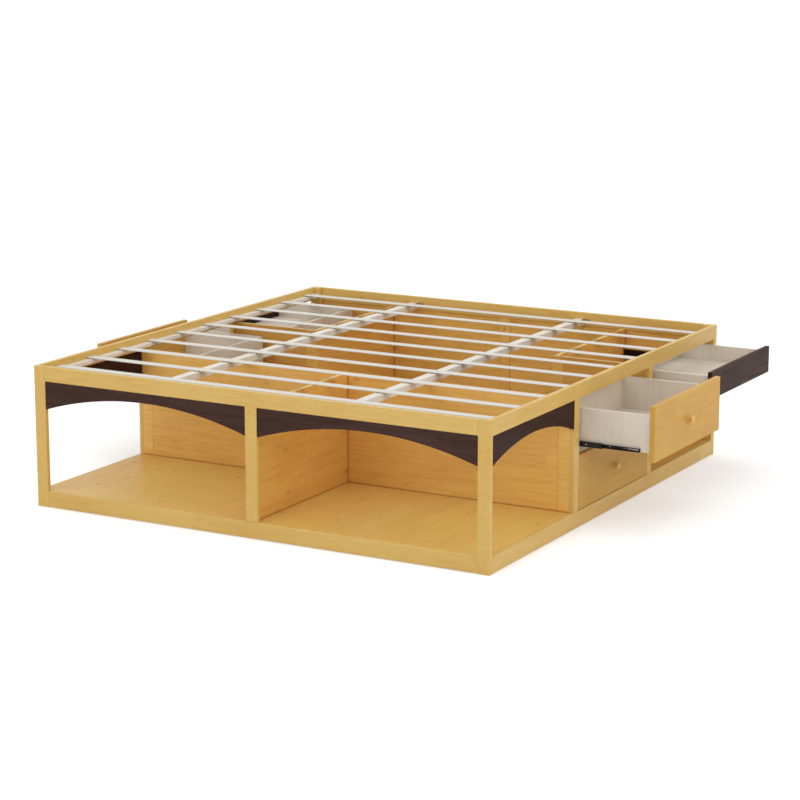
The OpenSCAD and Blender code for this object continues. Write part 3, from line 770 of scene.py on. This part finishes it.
# Section of the runners, measured from the cabinet wall and from the runner's middle height
WALL_GAP = 0.0013
BALL_ACROSS = 0.0048
INNER_ROW = 0.007
OUTER_ROW = 0.0104
# Cages: room past the last ball, reach behind and beyond the balls, lip and inset of the strip
CAGE_END = 0.006
CAGE_BEHIND, CAGE_BEYOND = 0.0002, 0.0036
CAGE_LIP, CAGE_INSET = 0.0006, 0.0005
# Stop rivets: distance behind the front end, and their foot and head off the wall
RIVET_BACK = 0.065
RIVET_LOW, RIVET_HIGH = 0.00135, 0.00225


class BED_OT_runner_balls(bpy.types.Operator):
    """Fill the races of the runners with balls in their cages, and rivet their stops"""

    bl_idname = "bed.runner_balls"
    bl_label = "Runner balls"

    def execute(self, context):
        sizes = context.scene.bed_fittings
        steel = coated("bright_steel", linear(196, 196, 192), linear(150, 150, 148), 0.4, 0.0004,
                       0.004, (0.18, 0.28), 0.000005, 1.0)
        cage = coated("cage_steel", linear(122, 122, 120), linear(92, 92, 92), 0.5, 0.0005, 0.006,
                      (0.3, 0.42), 0.00001, 1.0)
        for drawer in DRAWERS:
            self.fit(drawer, sizes, steel, cage)
        return {"FINISHED"}

    def fit(self, drawer, sizes, steel, cage):
        rear, wall_0, wall_1, middle, outward = runner_facts(drawer)
        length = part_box(f"{drawer}_mid_runners")
        member = length[1].x - length[0].x
        train = sizes.ball_pitch * (sizes.balls - 1)
        # The outer cages lie at the rear of the middle member, the inner ones at its front
        trains = [(OUTER_ROW, CAGE_END), (INNER_ROW, member - CAGE_END - train)]
        balls, strips = [], []
        r = sizes.ball / 2
        for row, start in trains:
            first = rear + outward * start
            ball = turned_shape([(0.0, -r), (0.62 * r, -0.785 * r), (0.97 * r, -0.26 * r),
                                 (0.97 * r, 0.26 * r), (0.62 * r, 0.785 * r), (0.0, r)], 8)
            place = (first, wall_0 + BALL_ACROSS, middle - row)
            balls.append(baked(
                "balls", placed(ball, "ball", (0, 0, 1), place), grid_tree(), Count=sizes.balls,
                Step=(outward * sizes.ball_pitch, 0.0, 0.0), Rows=2, **{
                    "Row Step": (0.0, 0.0, 2 * row), "Files": 2,
                    "File Step": (0.0, wall_1 - wall_0 - 2 * BALL_ACROSS, 0.0), "Material": steel}))
            x0 = first - outward * CAGE_END / 2
            x1 = first + outward * (train + CAGE_END / 2)
            strips += self.cage_strips(row, wall_0, wall_1, middle, x0, x1, sizes.cage)
        stop = rear + outward * (member - RIVET_BACK)
        for wall, facing in ((wall_0, 1), (wall_1, -1)):
            foot = (stop, wall + facing * RIVET_LOW, middle)
            balls.append(self.rivet(sizes.rivet / 2, foot, facing))
        as_object(f"{drawer}_balls", joined(f"{drawer}_balls", balls), steel,
                  f"{drawer}_mid")
        as_object(f"{drawer}_ball_cages", joined(f"{drawer}_ball_cages", strips), cage,
                  f"{drawer}_mid")

    def rivet(self, radius, place, facing):
        """Stop rivet on the web of a middle member."""
        high = RIVET_HIGH - RIVET_LOW
        profile = [(0.0, 0.0), (radius, 0.0), (radius, 0.6 * high), (0.8 * radius, high),
                   (0.0, high)]
        return placed(turned_shape(profile, 16), "rivet", (0, facing, 0), place)

    def cage_strips(self, row, wall_0, wall_1, middle, x0, x1, thickness):
        """Angle strips that hold the two rows of balls on both sides of the drawer."""
        across = (BALL_ACROSS - CAGE_BEHIND, BALL_ACROSS + CAGE_BEYOND)
        lip = row + CAGE_LIP
        top, low = row - CAGE_INSET, row - CAGE_INSET - thickness
        made = []
        for wall, inward in ((wall_0, 1), (wall_1, -1)):
            for up in (1, -1):
                section = [(across[0], low), (across[1], low), (across[1], lip),
                           (across[1] - thickness, lip), (across[1] - thickness, top),
                           (across[0], top)]
                points = [(wall + inward * a, middle + up * h) for a, h in section]
                made.append(bar_mesh("strip", points, x0, x1))
        return made


class BED_OT_screws(bpy.types.Operator):
    """Drive the screws of brackets, knobs and drawer runners, and cap those of the ledgers"""

    bl_idname = "bed.screws"
    bl_label = "Screws"

    def execute(self, context):
        sizes, finish = context.scene.bed_fittings, context.scene.bed_finish
        steel = coated("zinc_screw", linear(178, 176, 168), linear(128, 126, 120), 0.5, 0.0004,
                       0.003, (0.3, 0.42), 0.00001, 1.0)
        cap = coated("cap_plastic", finish.paint, linear(206, 200, 188), 0.3, 0.0006, 0.01,
                     (0.4, 0.5), 0.00003)
        self.bracket_screws(sizes, steel)
        self.ledger_caps(sizes, cap)
        for drawer in DRAWERS:
            self.drawer_screws(drawer, sizes, steel)
        return {"FINISHED"}

    def bracket_screws(self, sizes, steel):
        """A screw in each leg of the four brackets."""
        lo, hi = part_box("rail_brackets")
        leg, sheet, along_leg = 0.032, 0.002, 0.6
        apart = hi.x - lo.x - leg
        z = (lo.z + hi.z) / 2
        meshes = []
        for end, inward in ((hi.y, -1), (lo.y, 1)):
            for x, y, facing in (
                    (lo.x + along_leg * leg, end + inward * sheet, (0, inward, 0)),
                    (lo.x + sheet, end + inward * along_leg * leg, (1, 0, 0))):
                head = placed(screw_head(sizes.screw), "head", facing, (x, y, z))
                meshes.append(baked("screws", head, grid_tree(), Count=2,
                                    Step=(apart, 0.0, 0.0), Material=steel))
        as_object("bracket_screws", joined("bracket_screws", meshes), steel, "root")

    def ledger_caps(self, sizes, cap):
        lo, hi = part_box("slat_ledgers")
        width, end = 0.028, 0.12
        r = sizes.cap / 2
        profile = [(0.0, 0.0), (r, 0.0), (0.96 * r, 0.1 * r), (0.8 * r, 0.18 * r), (0.0, 0.22 * r)]
        step = (hi.y - lo.y - 2 * end) / (sizes.caps - 1)
        meshes = []
        for x, facing in ((lo.x + width, 1), (hi.x - width, -1)):
            place = (x, lo.y + end, (lo.z + hi.z) / 2)
            one = placed(turned_shape(profile, 16), "cap", (facing, 0, 0), place)
            meshes.append(baked("caps", one, grid_tree(), Count=sizes.caps,
                                Step=(0.0, step, 0.0), Material=cap))
        as_object("ledger_screw_caps", joined("ledger_screw_caps", meshes), cap, "root")

    def drawer_screws(self, drawer, sizes, steel):
        lo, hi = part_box(f"{drawer}_runners")
        outward = 1 if drawer.startswith("right") else -1
        front = hi.x if outward > 0 else lo.x
        web, holes, pitch = 0.0094, 0.183, 0.118
        meshes = []
        for y, facing in ((lo.y + web, -1), (hi.y - web, 1)):
            place = (front - outward * holes, y, (lo.z + hi.z) / 2)
            head = placed(screw_head(sizes.screw), "head", (0, facing, 0), place)
            meshes.append(baked("screws", head, grid_tree(), Count=2,
                                Step=(-outward * pitch, 0.0, 0.0), Material=steel))
        if "dark" not in drawer:
            front_lo, front_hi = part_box(f"{drawer}_front")
            middle = (front_lo + front_hi) / 2
            back = front_lo.x if outward > 0 else front_hi.x
            meshes.append(placed(screw_head(1.3 * sizes.screw), "head", (-outward, 0, 0),
                                 (back, middle.y, middle.z)))
        as_object(f"{drawer}_screws", joined(f"{drawer}_screws", meshes), steel,
                  f"{drawer}_drawer")


class BED_OT_stage(bpy.types.Operator):
    """Set up the floor, soft light and camera"""

    bl_idname = "bed.stage"
    bl_label = "Stage"

    def execute(self, context):
        stage = context.scene.bed_stage
        context.scene.view_settings.view_transform = "Standard"
        self.world(context.scene, stage)
        self.lay_floor(stage)
        middle = Vector((0.0, 0.0, 0.3))
        self.lamp("key_lamp", (-3.2, -9.0, 5.5), middle, 6.0, stage.key)
        self.lamp("side_lamp", (9.0, -2.0, 5.0), middle, 6.0, stage.side)
        self.lamp("top_lamp", (0.0, 1.0, 7.5), middle, 6.0, stage.top)
        self.camera(context.scene, stage)
        return {"FINISHED"}

    def world(self, scene, stage):
        scene.world = bpy.data.worlds.new("studio")
        scene.world.use_nodes = True
        w = Web(scene.world.node_tree)
        w.nodes.clear()
        blank = (1.0, 1.0, 1.0, 1.0)
        light = w.node("ShaderNodeBackground", {"Color": blank, "Strength": stage.sky})
        white = w.node("ShaderNodeBackground", {"Color": blank, "Strength": 1.0})
        path = w.node("ShaderNodeLightPath").outputs
        seen = w.math("ADD", path["Is Camera Ray"], path["Is Glossy Ray"], clamp=True)
        seen = w.math("ADD", seen, path["Is Transmission Ray"], clamp=True)
        both = w.node("ShaderNodeMixShader", {0: seen, 1: light.outputs[0], 2: white.outputs[0]})
        w.node("ShaderNodeOutputWorld", {"Surface": both.outputs[0]})

    def lay_floor(self, stage):
        reach = 60.0
        shape = bmesh.new()
        bmesh.ops.create_circle(shape, cap_ends=True, segments=96, radius=reach)
        mesh = bpy.data.meshes.new("studio_floor")
        shape.to_mesh(mesh)
        shape.free()
        floor = bpy.data.objects.new("studio_floor", mesh)
        bpy.context.scene.collection.objects.link(floor)
        material, w, shader = new_material("pale_floor", stage.floor)
        shader.inputs["Base Color"].default_value = colour4(stage.floor)
        shader.inputs["Roughness"].default_value = 0.9
        shader.inputs["Specular IOR Level"].default_value = 0.0
        path = w.node("ShaderNodeLightPath").outputs
        seen = w.math("ADD", path["Is Camera Ray"], path["Is Glossy Ray"], clamp=True)
        seen = w.math("ADD", seen, path["Is Transmission Ray"], clamp=True)
        away = w.node("ShaderNodeVectorMath", {
            0: w.node("ShaderNodeTexCoord").outputs["Object"]}, operation="LENGTH").outputs["Value"]
        lift = w.range(away, 3.0, 14.0, stage.floor_lift, stage.far_lift)
        w.feed(w.math("MULTIPLY", seen, lift), shader.inputs["Emission Strength"])
        shader.inputs["Emission Color"].default_value = (1.0, 1.0, 1.0, 1.0)
        mesh.materials.append(material)

    def lamp(self, name, place, target, size, power):
        light = bpy.data.lights.new(name, "AREA")
        light.shape, light.size, light.energy = "DISK", size, power
        made = bpy.data.objects.new(name, light)
        made.location = place
        made.rotation_euler = (target - Vector(place)).to_track_quat("-Z", "Y").to_euler()
        bpy.context.scene.collection.objects.link(made)

    def camera(self, scene, stage):
        camera = bpy.data.objects.new("camera", bpy.data.cameras.new("camera"))
        scene.collection.objects.link(camera)
        camera.data.sensor_width = 36.0
        camera.data.lens = stage.focal
        camera.location = stage.eye
        camera.rotation_euler = (math.pi / 2 - stage.pitch, 0.0, stage.azimuth)
        scene.camera = camera


class BED_PT_looks(bpy.types.Panel):
    """Operators of the bed's looks"""

    bl_idname = "BED_PT_looks"
    bl_label = "Platform bed"
    bl_space_type = "VIEW_3D"
    bl_region_type = "UI"
    bl_category = "Bed"

    def draw(self, context):
        for settings in ("bed_finish", "bed_fittings", "bed_stage"):
            group = getattr(context.scene, settings)
            column = self.layout.column(align=True)
            for name in group.bl_rna.properties.keys():
                if name not in ("rna_type", "name"):
                    column.prop(group, name)
        for operator in OPERATORS:
            self.layout.operator(operator.bl_idname)


OPERATORS = (
    BED_OT_light_wood, BED_OT_dark_wood, BED_OT_drawer_board, BED_OT_coats, BED_OT_slats,
    BED_OT_runner_balls, BED_OT_screws, BED_OT_stage)
SETTINGS = {"bed_finish": BedFinish, "bed_fittings": BedFittings, "bed_stage": BedStage}


def register():
    for cls in (*SETTINGS.values(), *OPERATORS, BED_PT_looks):
        bpy.utils.register_class(cls)
    for name, group in SETTINGS.items():
        setattr(bpy.types.Scene, name, PointerProperty(type=group))


def unregister():
    for name in SETTINGS:
        delattr(bpy.types.Scene, name)
    for cls in reversed((*SETTINGS.values(), *OPERATORS, BED_PT_looks)):
        bpy.utils.unregister_class(cls)


def main():
    register()
    for operator in OPERATORS:
        group, name = operator.bl_idname.split(".")
        getattr(getattr(bpy.ops, group), name)()


if __name__ == "__main__":
    main()
